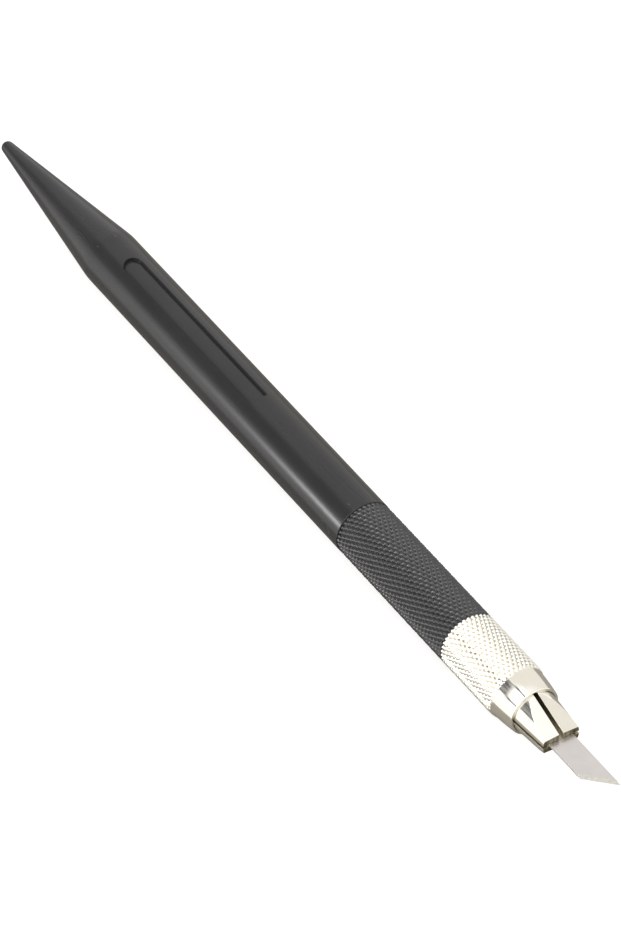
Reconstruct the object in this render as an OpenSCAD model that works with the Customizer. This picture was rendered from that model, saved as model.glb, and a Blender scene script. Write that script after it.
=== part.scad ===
// Hobby craft knife: a hollow barrel with a tapered tail, a knurled grip, a four-jaw
// collet with a wedge nose, a knurled collar that closes the jaws, and a blade.
// Stations run along +X from the tail's tip to the blade's tip; +Z is square to the blade.

/* [Handle] */
// Outer diameter of the barrel and of both knurls
handle_d = 9.6; // [9.5:0.1:11]
// Length of the barrel, from the tail's tip to the seam with the grip
barrel_len = 105.5; // [95:0.5:125]
// Length of the tapered tail, from its tip to the corner between cone and barrel
tail_len = 32.8; // [24:0.2:38]
// Radius of the round tip of the tail
tail_tip_r = 1.05; // [0.8:0.05:1.6]
// Radius that blends the tail's cone into the straight barrel
shoulder_round = 40; // [10:1:60]
// Thickness of the barrel's wall
barrel_wall = 1.35; // [1.1:0.05:1.5]
// Chamfer on the barrel's front edge, which shows as the seam
seam_chamfer = 0.15; // [0.05:0.01:0.3]
// Moulding draft: how much the radius falls from the name recess back to the shoulder
barrel_draft = 0.04; // [0.01:0.01:0.1]

/* [Name recess, left bare] */
// Length of the recess
recess_len = 38; // [20:0.5:42]
// Width of the recess, and the diameter of its round rear end
recess_w = 3.2; // [2:0.1:4]
// Depth of the recess
recess_depth = 0.5; // [0.2:0.05:0.6]
// Distance from the tail's cone to the recess
recess_gap = 6.6; // [4:0.1:12]
// Turn of the recess about the axis, from straight up
recess_turn = 8; // [0:1:60]
// Distance from the recess to the straight land at the barrel's front
land_gap = 0.6; // [0.2:0.1:2]

/* [Grip] */
// Length of the knurled grip
grip_len = 27.7; // [20:0.1:40]
// Length of the plug that the barrel is pushed on to
plug_len = 14; // [8:0.5:20]
// Thickness of the hollow plug's wall
plug_wall = 1.2; // [0.8:0.05:1.5]
// Length of the threaded spigot that carries the collar
spigot_len = 6.4; // [5:0.1:8]
// Thickness of the threaded spigot's wall
spigot_wall = 1.05; // [0.9:0.05:1.3]
// Length of the undercut behind the thread
undercut_len = 0.9; // [0.5:0.1:1.5]
// Depth of the undercut behind the thread
undercut_depth = 0.3; // [0.1:0.05:0.4]

/* [Knurls] */
// Helical grooves each way round the grip
grip_starts = 36; // [24:1:40]
// Distance along the grip from one ring of diamonds to the next
grip_row = 0.81; // [0.7:0.01:1.2]
// Helical grooves each way round the collar
collar_starts = 39; // [24:1:42]
// Distance along the collar from one ring of diamonds to the next
collar_row = 0.76; // [0.65:0.01:1.2]
// Depth of the grip's grooves
grip_depth = 0.26; // [0.15:0.01:0.32]
// Depth of the collar's grooves
collar_depth = 0.2; // [0.12:0.01:0.25]
// Length of the chamfer at a knurl's open end
knurl_chamfer = 0.2; // [0.1:0.05:0.5]

/* [Collar] */
// Length of the collar's knurl
collar_knurl_len = 12.2; // [10:0.1:16]
// Length of the smooth taper in front of the knurl
collar_taper_len = 4.8; // [3.5:0.1:7]
// Thickness of the collar's wall under the tops of the knurl
collar_wall = 0.95; // [0.85:0.01:1.1]
// Step from the bottoms of the knurl's grooves down to the start of the taper
taper_step = 0.08; // [0.06:0.01:0.15]
// How far the taper swells out from a straight cone
taper_swell = 0.06; // [0:0.01:0.12]
// How much the collar's bore narrows to its mouth, on the radius
mouth_step = 0.2; // [0.1:0.01:0.3]
// Width of the rim round the mouth
mouth_rim = 0.45; // [0.3:0.01:0.6]
// Radius of the rim's rounded outer edge
rim_round = 0.22; // [0.1:0.01:0.25]

/* [Collet] */
// Length of the nose in front of the collar
nose_len = 6.6; // [5:0.1:9]
// Half angle of the nose's cone
nose_taper = 4.3; // [3:0.1:5]
// Thickness of the nose at its end, between the two flats
nose_end_t = 2.5; // [2:0.05:3.2]
// Length of the land round the widest part of the nose
nose_land = 0.6; // [0.3:0.1:1]
// Length of the ramp from the neck up to the land
nose_ramp = 1.6; // [1:0.1:2.5]
// Depth of the springy neck behind the nose, on the radius
neck_depth = 0.65; // [0.4:0.05:1]
// Length of the shoulder that seats on the threaded spigot
shoulder_len = 1.2; // [0.8:0.1:2]
// Length of the shank inside the grip
shank_len = 18.4; // [17:0.1:22]
// Width of the slit that crosses the blade's slot
slit_w = 0.7; // [0.4:0.05:1]

/* [Blade] */
// Width of the blade
blade_w = 4; // [3:0.1:5]
// Thickness of the blade
blade_t = 0.42; // [0.3:0.02:0.6]
// Whole length of the blade
blade_len = 32; // [28:0.5:34]
// Length of blade in front of the nose, to the tip
blade_out = 11.8; // [8:0.1:16]
// Angle between the cutting edge and the blade's back
edge_angle = 45; // [30:1:60]
// Width of the ground bevel along the cutting edge
bevel_w = 0.65; // [0.3:0.05:1]
// Thickness left at the cutting edge
edge_t = 0.04; // [0.02:0.01:0.1]

/* [Clearances] */
// Radial gap between the plug and the barrel
plug_fit = 0.05; // [0.02:0.01:0.1]
// Radial gap between the collar and its thread
thread_fit = 0.06; // [0.02:0.01:0.1]
// Radial gap between the collet's shank and the grip
shank_fit = 0.06; // [0.02:0.01:0.1]
// Radial gap between the nose and the collar
nose_fit = 0.05; // [0.02:0.01:0.1]
// Gap on each face of the blade in its slot
blade_fit = 0.04; // [0.02:0.01:0.08]
// Gap between end faces that close on each other
face_gap = 0.1; // [0.05:0.01:0.2]
// Chamfer that leads one round piece into another
lead = 0.2; // [0.1:0.05:0.3]

/* [Hidden] */
$fn = 96;

// Steps in each arc of a turned outline
arc_steps = 8;
// How far a cutter runs past the face that it opens
over = 1;
// How far the collar's knurl tucks under its taper
knurl_tuck = 0.15;

// Stations along the knife
seam_x = barrel_len;
grip_front_x = seam_x + grip_len;
spigot_front_x = grip_front_x + spigot_len;
collar_rear_x = grip_front_x + face_gap;
knurl_front_x = collar_rear_x + collar_knurl_len;
mouth_x = knurl_front_x + collar_taper_len;
nose_end_x = mouth_x + nose_len;
blade_tip_x = nose_end_x + blade_out;
blade_rear_x = blade_tip_x - blade_len;
shoulder_x = spigot_front_x + face_gap;
shank_rear_x = shoulder_x - shank_len;
slot_root_x = blade_rear_x - face_gap;

// Radii
handle_r = handle_d / 2;
socket_r = handle_r - barrel_wall;
plug_r = socket_r - plug_fit;
collar_bore_r = handle_r - collar_wall;
thread_r = collar_bore_r - thread_fit;
shank_r = thread_r - spigot_wall - shank_fit;
mouth_r = collar_bore_r - mouth_step;

// The nose and the inside of the collar's mouth are cones with one slope
nose_slope = tan(nose_taper);
nose_max_r = collar_bore_r - nose_fit;
nose_mouth_r = mouth_r - nose_fit;
nose_end_r = nose_mouth_r - nose_len * nose_slope;
nose_max_x = mouth_x - mouth_step / nose_slope;

// The barrel lies on height 0, and the middle of the knife's length is at x = 0
module placed() {
    translate([-blade_tip_x / 2, 0, handle_r]) children();
}

// Points of an arc about [x, r], as [station, radius]
function arc(x, r, radius, from, to) = [
    for (i = [0 : arc_steps])
        let (t = from + (to - from) * i / arc_steps)
        [x + radius * cos(t), r + radius * sin(t)]
];

// A solid turned about the knife's axis from [station, radius] points
module turned(outline) {
    rotate([0, 90, 0]) rotate_extrude() polygon([for (p = outline) [p[1], p[0]]]);
}

// A round bar or cutter along the axis
module bar(from_x, to_x, radius) {
    translate([from_x, 0, 0]) rotate([0, 90, 0]) cylinder(r = radius, h = to_x - from_x);
}

// A bar with a diamond knurl. Every second point of a ring is the apex of a diamond,
// and the points between are where two grooves cross. A plain ring closes each end as a
// chamfer, or with a tuck the front one runs in under the surface ahead of the knurl.
module knurled_bar(from_x, len, starts, row, depth, tuck = 0) {
    count = 2 * starts;
    root = handle_r - depth;
    start_x = from_x + knurl_chamfer;
    stop_x = from_x + len - (tuck > 0 ? 0 : knurl_chamfer);
    rows = max(2, round((stop_x - start_x) / row));
    last = rows + 2;
    function ring_x(j) =
        j == 0 ? from_x : j == last ? from_x + len + tuck
        : start_x + (stop_x - start_x) * (j - 1) / rows;
    function ring_r(m, j) =
        j == 0 ? root : j == last ? root - 2 * tuck : (m + j) % 2 == 0 ? handle_r : root;
    function at(m, j) = m % count + j * count;
    function cell(m, j) = [at(m, j), at(m, j + 1), at(m + 1, j + 1), at(m + 1, j)];
    function halves(c, crest_first) =
        crest_first ? [[c[0], c[1], c[3]], [c[1], c[2], c[3]]]
                    : [[c[0], c[1], c[2]], [c[0], c[2], c[3]]];
    points = [
        for (j = [0 : last], m = [0 : count - 1])
            let (r = ring_r(m, j), a = 360 * m / count)
            [ring_x(j), r * cos(a), r * sin(a)]
    ];
    side = [
        for (j = [0 : last - 1], m = [0 : count - 1])
            each halves(cell(m, j), (m + j) % 2 == 0)
    ];
    rear = [for (m = [0 : count - 1]) at(m, 0)];
    front = [for (m = [1 : count]) at(count - m, last)];
    polyhedron(points, concat([rear, front], side));
}

// ---- barrel ----

// Angle of the tail's cone, which is tangent to the round tip
tail_r = handle_r - barrel_draft;
tail_run = tail_len - tail_tip_r;
tail_angle = atan2(tail_r, tail_run) - asin(tail_tip_r / norm([tail_run, tail_r]));
shoulder_end_x = tail_len + shoulder_round * tan(tail_angle / 2);
recess_rear_x = tail_len + recess_gap;
land_x = recess_rear_x + recess_len + land_gap;
// The store inside follows the outer cone down to this radius
store_end_r = tail_tip_r;
store_end_x = tail_len - (socket_r - store_end_r) / tan(tail_angle);

module name_recess() {
    rotate([recess_turn, 0, 0]) difference() {
        linear_extrude(handle_r + over) union() {
            translate([recess_rear_x + recess_w / 2, 0]) circle(d = recess_w);
            translate([recess_rear_x + recess_w / 2, -recess_w / 2])
                square([recess_len - recess_w / 2, recess_w]);
        }
        bar(0, barrel_len, handle_r - recess_depth);
    }
}

module barrel() {
    outside = concat(
        arc(tail_tip_r, 0, tail_tip_r, 180, 90 + tail_angle),
        arc(shoulder_end_x, tail_r - shoulder_round, shoulder_round, 90 + tail_angle, 90),
        [
            [land_x, handle_r],
            [seam_x - seam_chamfer, handle_r],
            [seam_x, handle_r - seam_chamfer],
            [seam_x, 0]
        ]
    );
    store = [
        [store_end_x, 0],
        [store_end_x, store_end_r],
        [tail_len, socket_r],
        [seam_x - lead, socket_r],
        [seam_x, socket_r + lead],
        [seam_x + over, socket_r + lead],
        [seam_x + over, 0]
    ];
    color([0.2, 0.2, 0.21]) placed() difference() {
        turned(outside);
        turned(store);
        name_recess();
    }
}

// ---- grip ----

module grip() {
    plug_rear_x = seam_x - plug_len;
    undercut_r = thread_r - undercut_depth;
    core = [
        [plug_rear_x, 0],
        [plug_rear_x, plug_r - lead],
        [plug_rear_x + lead, plug_r],
        [grip_front_x - over, plug_r],
        [grip_front_x - over, undercut_r],
        [grip_front_x + undercut_len, undercut_r],
        [grip_front_x + undercut_len, thread_r],
        [spigot_front_x - lead, thread_r],
        [spigot_front_x, thread_r - lead],
        [spigot_front_x, 0]
    ];
    color([0.16, 0.16, 0.17]) placed() difference() {
        union() {
            knurled_bar(seam_x, grip_len, grip_starts, grip_row, grip_depth);
            turned(core);
        }
        bar(plug_rear_x - over, seam_x, plug_r - plug_wall);
        bar(shank_rear_x - lead, spigot_front_x + over, shank_r + shank_fit);
    }
}

// ---- collet ----

// A cutter that leaves the flat on one side of the nose; it meets the cone at the mouth
module nose_flat() {
    flat_slope = (nose_mouth_r - nose_end_t / 2) / nose_len;
    function flat_z(x) = nose_end_t / 2 + (nose_end_x - x) * flat_slope;
    front_x = nose_end_x + over;
    rear_x = nose_max_x;
    rotate([90, 0, 0]) linear_extrude(2 * handle_r, center = true) polygon([
        [front_x, flat_z(front_x)],
        [front_x, handle_d],
        [rear_x, handle_d],
        [rear_x, flat_z(rear_x)]
    ]);
}

// The two slits that part the four jaws; the blade lies in the level one
module jaw_slits() {
    slot_t = blade_t + 2 * blade_fit;
    slit_len = nose_end_x + over - slot_root_x;
    translate([slot_root_x, -handle_r, -slot_t / 2]) cube([slit_len, handle_d, slot_t]);
    translate([slot_root_x, -slit_w / 2, -handle_r]) cube([slit_len, slit_w, handle_d]);
}

module collet() {
    seat_r = thread_r - lead;
    neck_r = nose_max_r - neck_depth;
    ramp_end_x = nose_max_x - nose_land;
    outline = [
        [shank_rear_x, 0],
        [shank_rear_x, shank_r - lead],
        [shank_rear_x + lead, shank_r],
        [shoulder_x, shank_r],
        [shoulder_x, seat_r],
        [shoulder_x + shoulder_len, seat_r],
        [shoulder_x + shoulder_len, neck_r],
        [ramp_end_x - nose_ramp, neck_r],
        [ramp_end_x, nose_max_r],
        [nose_max_x, nose_max_r],
        [nose_end_x - lead, nose_end_r + lead * nose_slope],
        [nose_end_x, nose_end_r - lead],
        [nose_end_x, 0]
    ];
    color([0.78, 0.75, 0.66]) placed() difference() {
        turned(outline);
        nose_flat();
        mirror([0, 0, 1]) nose_flat();
        jaw_slits();
    }
}

// ---- collar ----

module collar() {
    taper_r = handle_r - collar_depth - taper_step;
    rim_r = mouth_r + mouth_rim;
    rim_x = mouth_x - rim_round;
    taper = [
        for (i = [0 : arc_steps])
            let (s = i / arc_steps)
            [knurl_front_x + (rim_x - knurl_front_x) * s,
             taper_r + (rim_r - taper_r) * s + 4 * taper_swell * s * (1 - s)]
    ];
    rim = arc(rim_x, rim_r - rim_round, rim_round, 80, 0);
    front = concat(
        [[knurl_front_x - over, 0], [knurl_front_x - over, taper_r]],
        taper,
        rim,
        [[mouth_x, 0]]
    );
    bore = [
        [collar_rear_x - over, 0],
        [collar_rear_x - over, collar_bore_r + lead],
        [collar_rear_x, collar_bore_r + lead],
        [collar_rear_x + lead, collar_bore_r],
        [nose_max_x, collar_bore_r],
        [mouth_x + over, mouth_r - over * nose_slope],
        [mouth_x + over, 0]
    ];
    color([0.82, 0.79, 0.7]) placed() difference() {
        union() {
            knurled_bar(collar_rear_x, collar_knurl_len, collar_starts, collar_row,
                collar_depth, knurl_tuck);
            turned(front);
        }
        turned(bore);
    }
}

// ---- blade ----

// A cutter for the bevel on one face of the blade, along the cutting edge
module bevel() {
    slope = atan2((blade_t - edge_t) / 2, bevel_w);
    reach = 2 * blade_w / sin(edge_angle);
    translate([blade_tip_x, blade_w / 2, edge_t / 2])
        rotate([0, 0, 180 + edge_angle])
        rotate([-slope, 0, 0])
        translate([-reach / 2, -reach, 0])
        cube([2 * reach, 2 * reach, blade_t]);
}

module blade() {
    heel_x = blade_tip_x - blade_w / tan(edge_angle);
    outline = [
        [blade_rear_x, lead - blade_w / 2],
        [blade_rear_x + lead, -blade_w / 2],
        [heel_x, -blade_w / 2],
        [blade_tip_x, blade_w / 2],
        [blade_rear_x + lead, blade_w / 2],
        [blade_rear_x, blade_w / 2 - lead]
    ];
    color([0.82, 0.8, 0.8]) placed() difference() {
        linear_extrude(blade_t, center = true) polygon(outline);
        bevel();
        mirror([0, 0, 1]) bevel();
    }
}

barrel();
grip();
collet();
collar();
blade();
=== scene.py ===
"""Looks of the hobby craft knife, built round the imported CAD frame.

Lengths in the block of named sizes are in millimetres and are turned into metres by MM.
The knife lies along +X, its blade's flat faces look up and down, and it rests on z = 0.
"""

import math

import bmesh
import bpy
import numpy as np
from mathutils import Matrix, Vector
from mathutils.bvhtree import BVHTree


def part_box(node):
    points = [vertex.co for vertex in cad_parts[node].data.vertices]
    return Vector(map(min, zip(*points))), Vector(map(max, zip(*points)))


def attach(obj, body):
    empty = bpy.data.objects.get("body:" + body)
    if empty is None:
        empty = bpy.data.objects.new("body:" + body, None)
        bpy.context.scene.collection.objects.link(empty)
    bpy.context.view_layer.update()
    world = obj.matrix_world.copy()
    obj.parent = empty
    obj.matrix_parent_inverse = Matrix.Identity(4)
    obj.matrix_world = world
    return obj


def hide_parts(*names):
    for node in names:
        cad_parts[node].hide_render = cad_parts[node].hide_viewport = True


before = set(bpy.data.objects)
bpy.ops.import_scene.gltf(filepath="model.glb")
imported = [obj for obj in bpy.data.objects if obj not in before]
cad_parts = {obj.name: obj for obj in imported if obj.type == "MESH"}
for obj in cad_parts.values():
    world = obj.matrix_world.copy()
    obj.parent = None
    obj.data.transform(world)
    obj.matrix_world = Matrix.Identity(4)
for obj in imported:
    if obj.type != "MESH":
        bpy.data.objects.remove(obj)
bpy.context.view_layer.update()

MM = 0.001
TAU = 2 * math.pi

# ------------------------ image points
# The photograph's frame, and places in it in its own pixels
IMAGE_W, IMAGE_H = 621, 931
IMAGE_LONG = max(IMAGE_W, IMAGE_H)
# Light scuffs on the barrel: both ends of each, and its half width in millimetres
SCUFFS = {
    "scuff_tail": ((114.6, 235.0), (116.2, 237.2), 0.13),
    "scuff_shoulder": ((124.0, 245.9), (131.0, 248.2), 0.07),
    "scuff_cone": ((97.0, 245.8), (98.6, 247.2), 0.12),
    "scuff_nick": ((347.2, 503.4), (349.8, 505.0), 0.1),
    "scuff_rising": ((318.8, 520.6), (326.4, 521.2), 0.06),
    "scuff_falling": ((327.0, 525.2), (329.3, 534.6), 0.08),
}

# ------------------------ camera
CAM_AZIMUTH = math.radians(57.56)
CAM_ELEVATION = math.radians(42.83)
CAM_DISTANCE = 0.7999
CAM_LENS = 207.64
CAM_SENSOR = 36.0
CAM_CLIP = (0.05, 50)
# The point that the camera looks at, from the middle of the tail's tip
CAM_AIM = Vector((90.275, 0.361, 0.595)) * MM

CAM_BACK = Vector((
    math.sin(CAM_AZIMUTH) * math.cos(CAM_ELEVATION),
    -math.cos(CAM_AZIMUTH) * math.cos(CAM_ELEVATION),
    math.sin(CAM_ELEVATION),
))

# ------------------------ light
# The soft box that stands on the floor beside the knife, towards its tail
KEY_SIZE = (0.205, 0.09)
KEY_PLACE = (-0.2675, -0.46, 0.045)
KEY_WATTS = 0.14
# A small lamp nearer the knife
NEAR_SIZE = (0.04, 0.03)
NEAR_PLACE = (-0.08, -0.15, 0.0155)
NEAR_WATTS = 0.058
# The pale floor, and its glow that keeps it white behind the knife and, in reflections,
# paints light: a white pool on the lamp's side from where the knife's own shade ends
FLOOR_HALF = 3.0
FLOOR_COLOUR = (0.385, 0.368, 0.333, 1)
FLOOR_LIFT = 0.82
SHADE_END, WHITE_FROM = -12 * MM, -14.5 * MM
# The tent round the knife, by direction. The lamp's side is bright, up to a slanting
# edge, and past it bright and dim panels follow each other along the knife
TENT_BRIGHT, TENT_DIM = (1.12, 1.12, 1.15), (0.88, 0.86, 0.825)
TENT_LEAN, TENT_EDGE, TENT_BLEND = 1.5, 0.375, 0.04
PANEL_EDGES, PANEL_BLEND = (-0.72, -0.35, -0.11), 0.03
# Diffuse light from the tent is held down, so that a colour renders as it is written
DIFFUSE_LEVEL = 0.85
# A tall strip light in the lamp's side of the tent: its ends along the knife
STRIP, STRIP_REAR, STRIP_FRONT, STRIP_BLEND = (3.6, 3.6, 3.65, 1), -0.34, -0.07, 0.03
# The dark gap in the tent: its ends along the knife and its turn about the knife
GAP_FRONT, GAP_REAR, GAP_BLEND = -0.39, -0.85, 0.03
GAP_LOW, GAP_HIGH = math.radians(22), math.radians(71)
# The gap's cloudy greys: their noise's scale, the two greys and where each is reached
GAP_NOISE, GAP_DARK, GAP_LIGHT = 9.0, (0.1, 0.095, 0.1), (0.45, 0.44, 0.44)
GAP_DARK_AT, GAP_LIGHT_AT = 0.4, 0.62
# The grey bars along the gap's two sides, and how far they run on in front of it
BAR_FRONT, BAR_HALF, BAR_GREY = -0.2, math.radians(4.5), (0.1, 0.1, 0.09, 1)
# The dull end of the tent, past the tail
END_FROM, END_FULL, END_LIGHT = -0.8, -0.87, (0.4, 0.4, 0.4, 1)
# The opening that the camera looks through, and the share of its angle that is full grey
VIEW_FROM, OPENING_ANGLE, OPENING_GREY = CAM_BACK, math.radians(11), (0.3, 0.29, 0.28, 1)
OPENING_FULL = 0.8

# ------------------------ sizes from the frame
barrel_lo, barrel_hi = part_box("barrel")
grip_lo, grip_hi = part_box("grip")
collet_lo, collet_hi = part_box("collet")
collar_lo, collar_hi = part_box("collar")
blade_lo, blade_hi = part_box("blade")

TAIL_X = barrel_lo.x
SEAM_X = barrel_hi.x
HANDLE_R = (barrel_hi.z - barrel_lo.z) / 2
AXIS_Z = (barrel_hi.z + barrel_lo.z) / 2
PLUG_REAR_X = grip_lo.x
SPIGOT_FRONT_X = grip_hi.x
MOUTH_X = collar_hi.x
NOSE_END_X = collet_hi.x

# Sizes that boxes can't give, as in the part's source
TAIL_LEN = 32.8 * MM
BARREL_DRAFT = 0.04 * MM
LAND_GAP = 0.6 * MM
TAIL_TIP_R = 1.05 * MM
BARREL_WALL = 1.35 * MM
PLUG_FIT = 0.05 * MM
PLUG_BORE_R = 2.2 * MM
SPIGOT_LEN = 6.4 * MM
THREAD_R = 3.79 * MM
THREAD_FIT = 0.06 * MM
SHANK_R = 2.68 * MM
SHANK_FIT = 0.06 * MM
LEAD = 0.2 * MM
COLLAR_TAPER_LEN = 4.8 * MM
MOUTH_R = 3.65 * MM
MOUTH_RIM = 0.45 * MM
RIM_ROUND = 0.22 * MM
NOSE_FIT = 0.05 * MM
NOSE_SLOPE = math.tan(math.radians(4.3))
NOSE_END_T = 2.5 * MM
NOSE_LAND = 0.6 * MM
NOSE_RAMP = 1.6 * MM
NECK_R = 3.15 * MM
SHOULDER_LEN = 1.2 * MM
SLIT_W = 0.7 * MM
SLOT_T = 0.5 * MM
BLADE_W = 4 * MM
BLADE_T = 0.42 * MM
BEVEL_W = 0.65 * MM
EDGE_T = 0.04 * MM
EDGE_ANGLE = math.radians(45)
FACE_GAP = 0.1 * MM
RECESS_LEN = 38 * MM
RECESS_W = 3.2 * MM
RECESS_DEPTH = 0.5 * MM
RECESS_GAP = 6.6 * MM
RECESS_TURN = math.radians(90 + 8)
GRIP_STARTS, GRIP_ROWS = 36, 34
COLLAR_STARTS, COLLAR_ROWS = 39, 16
TAPER_SWELL = 0.06 * MM

# Forms that the solids leave out, or draw a little otherwise
SHOULDER_ROUND = 16 * MM
SEAM_ROUND = 0.14 * MM
RECESS_CORNER = 0.3 * MM
GRIP_DEPTH, COLLAR_DEPTH = 0.34 * MM, 0.28 * MM
# Height, as a share of the grip's knurl, at which its grooves that run one way stop
GRIP_SHALLOW = 0.3
# The chamfer at the knurl's rear end: its length along the grip and its slope
GRIP_CHAMFER, GRIP_CHAMFER_SLOPE = 0.22 * MM, 0.7
# How far the grip's two end faces start below the knurl's grooves
GRIP_REAR_SINK, GRIP_FRONT_SINK = 0.06 * MM, 0.05 * MM
UNDERCUT_LEN, UNDERCUT_DEPTH = 0.7 * MM, 0.42 * MM
THREAD_PITCH, THREAD_DEPTH = 0.75 * MM, 0.36 * MM
# How deep the collar's thread is, as a share of the spigot's
COLLAR_THREAD_SHARE = 0.8
# The plain metal in front of the collar's knurl lies this far below the handle's radius
COLLAR_BLANK = 0.24 * MM
# Where the knurl starts to fade out behind its front end, and how long it takes
KNURL_FADE_BACK, KNURL_FADE_LEN = 0.25 * MM, 0.9 * MM
MOUTH_LIP = 0.08 * MM
# How the closed jaws lean in towards the slit, as a slope
JAW_LEAN = 0.06
BLADE_CORNER = 0.2 * MM
# Width of the broken edges on the collet and on the blade
COLLET_BREAK, BLADE_BREAK = 0.05 * MM, 0.02 * MM
# A scuff's steps along it, and how far its middle stands out and its sides lie in
SCUFF_STEPS, SCUFF_RISE = 8, 0.006 * MM
# Its width runs as a half sine between these places, so that its ends stay blunt
SCUFF_BLUNT = (0.06, 0.94)
# Distances from the camera between which a ray that misses looks for the knife
RAY_REACH, RAY_STEPS = (0.7, 0.9), 2000

# ------------------------ how fine the meshes are
# Vertices nearer than this are one
MERGE_WITHIN = 0.0005 * MM
# Mesh steps in each cell of a knurl's lattice
CELL_STEPS = 4
# Steps along the two threads and the collar's taper, and in the arcs of the collar's
# rim, of the barrel's tail and shoulder, and of its front edge
SPIGOT_STEPS, COLLAR_STEPS, TAPER_STEPS = 64, 72, 22
RIM_STEPS, ARC_STEPS, LIP_STEPS = 6, 14, 5
# Longest mesh cells of the barrel: at the recess's edge, from there on, behind the
# recess, on the cone and in the bore
RECESS_CELL, BARREL_CELL, REAR_CELL = 0.042 * MM, 0.9 * MM, 0.8 * MM
CONE_CELL, BORE_CELL = 2.5 * MM, 12 * MM
# Stations round the barrel away from the recess, and round the collet's shank
BARREL_AROUND, SHANK_AROUND = 112, 96
# Steps on a jaw's straight sides and round its outside, and its sections in front
JAW_SIDE_STEPS, JAW_ROUND_STEPS, JAW_STATIONS = 6, 16, 41

# ------------------------ derived places
GRIP_FRONT_X = SPIGOT_FRONT_X - SPIGOT_LEN
COLLAR_REAR_X = collar_lo.x
KNURL_FRONT_X = MOUTH_X - COLLAR_TAPER_LEN
SHANK_REAR_X = collet_lo.x
BLADE_REAR_X = blade_lo.x
BLADE_TIP_X = blade_hi.x
SLOT_ROOT_X = BLADE_REAR_X - FACE_GAP
SOCKET_R = HANDLE_R - BARREL_WALL
COLLAR_BORE_R = THREAD_R + THREAD_FIT
# The nose's widest place, where it starts to taper forward
NOSE_MAX_X = MOUTH_X - (COLLAR_BORE_R - MOUTH_R) / NOSE_SLOPE


# ------------------------ mesh tools
def add_piece(mesh, material, body):
    """A piece that shows the mesh and rides on the body."""
    mesh.shade_smooth()
    mesh.materials.append(material)
    obj = bpy.data.objects.new(mesh.name, mesh)
    bpy.context.scene.collection.objects.link(obj)
    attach(obj, body)
    return obj


def new_object(name, verts, faces, material, body, node, sharp):
    """A piece that stands for a CAD node, with edges sharp from that many degrees."""
    mesh = bpy.data.meshes.new(name)
    mesh.from_pydata([tuple(v) for v in verts], [], [tuple(f) for f in faces])
    mesh.validate()
    bm = bmesh.new()
    bm.from_mesh(mesh)
    bmesh.ops.remove_doubles(bm, verts=bm.verts, dist=MERGE_WITHIN)
    bmesh.ops.dissolve_degenerate(bm, edges=bm.edges, dist=MERGE_WITHIN)
    bmesh.ops.recalc_face_normals(bm, faces=bm.faces)
    bm.to_mesh(mesh)
    bm.free()
    obj = add_piece(mesh, material, body)
    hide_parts(node)
    mesh.set_sharp_from_angle(angle=math.radians(sharp))
    return obj


def break_edges(obj, width, segments, degrees, harden=False):
    """Bevels the edges that turn by more than this."""
    bevel = obj.modifiers.new("edge_break", "BEVEL")
    bevel.width = width
    bevel.segments = segments
    bevel.limit_method = "ANGLE"
    bevel.angle_limit = math.radians(degrees)
    bevel.harden_normals = harden


def turned(path, around):
    """A path's stations, and its radii repeated for each angle round."""
    stations = np.array([p[0] for p in path])
    radii = np.repeat(np.array([p[1] for p in path])[:, None], around, axis=1)
    return stations, radii


def swept(stations, radii, angles, split=None):
    """Vertices and faces of a surface turned about the knife's axis.

    radii is rings by angles. stations is one x for each ring and angles one angle for
    each step round, or either may be rings by angles too. A ring of zero radius becomes
    a pole when doubles merge. split gives, for a ring and an angle, None for a quad or
    which diagonal parts it.
    """
    rings, around = radii.shape
    stations = np.asarray(stations)
    x = stations if stations.ndim == 2 else np.repeat(stations[:, None], around, axis=1)
    y = radii * np.cos(angles)
    z = radii * np.sin(angles) + AXIS_Z
    verts = np.stack([x, y, z], axis=2).reshape(-1, 3)
    faces = []
    for p in range(rings - 1):
        for q in range(around):
            r = (q + 1) % around
            a, b = p * around + q, p * around + r
            c, d = a + around, b + around
            diagonal = split(p, q) if split else None
            if diagonal is None:
                faces.append((a, b, d, c))
            elif diagonal:
                faces += [(a, b, c), (b, d, c)]
            else:
                faces += [(a, b, d), (a, d, c)]
    return verts, faces


def joined(*shells):
    """Several (vertices, faces) as one."""
    verts, faces, base = [], [], 0
    for v, f in shells:
        verts.append(np.asarray(v, float))
        faces += [tuple(i + base for i in face) for face in f]
        base += len(v)
    return np.concatenate(verts), faces


def arc_points(x, r, radius, start, stop, steps):
    """Points of an arc about (x, r), angles in degrees."""
    out = []
    for t in np.linspace(math.radians(start), math.radians(stop), steps + 1):
        out.append((x + radius * math.cos(t), r + radius * math.sin(t)))
    return out


def finished(obj):
    """A piece's vertices in the shared frame, and its faces, after its modifiers."""
    mesh = obj.evaluated_get(bpy.context.evaluated_depsgraph_get()).data
    points = [obj.matrix_world @ v.co for v in mesh.vertices]
    return points, [tuple(p.vertices) for p in mesh.polygons]


def level_run(start, stop, steps, radius):
    """Even stations from start to stop, all at one radius."""
    return [(start + (stop - start) * i / steps, radius) for i in range(steps + 1)]


def smooth_step(t):
    """0 up to t = 0, 1 from t = 1, and a smooth rise between."""
    t = np.clip(t, 0.0, 1.0)
    return t * t * (3 - 2 * t)


def resampled(points, longest):
    """A path with no stretch longer than that."""
    out = [points[0]]
    for (x0, r0), (x1, r1) in zip(points, points[1:]):
        pieces = max(1, math.ceil(math.hypot(x1 - x0, r1 - r0) / longest))
        for i in range(1, pieces + 1):
            out.append((x0 + (x1 - x0) * i / pieces, r0 + (r1 - r0) * i / pieces))
    return out


def even_angles(count):
    """That many angles, evenly round."""
    return np.arange(count) * TAU / count


# ------------------------ knurls and threads
# Height of the knurl against the distance from its grooves: a V with a rounded crest
KNURL_SHAPE = ([0.0, 0.25, 0.5, 0.75, 1.0], [0.0, 0.3, 0.64, 0.91, 1.0])


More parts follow.
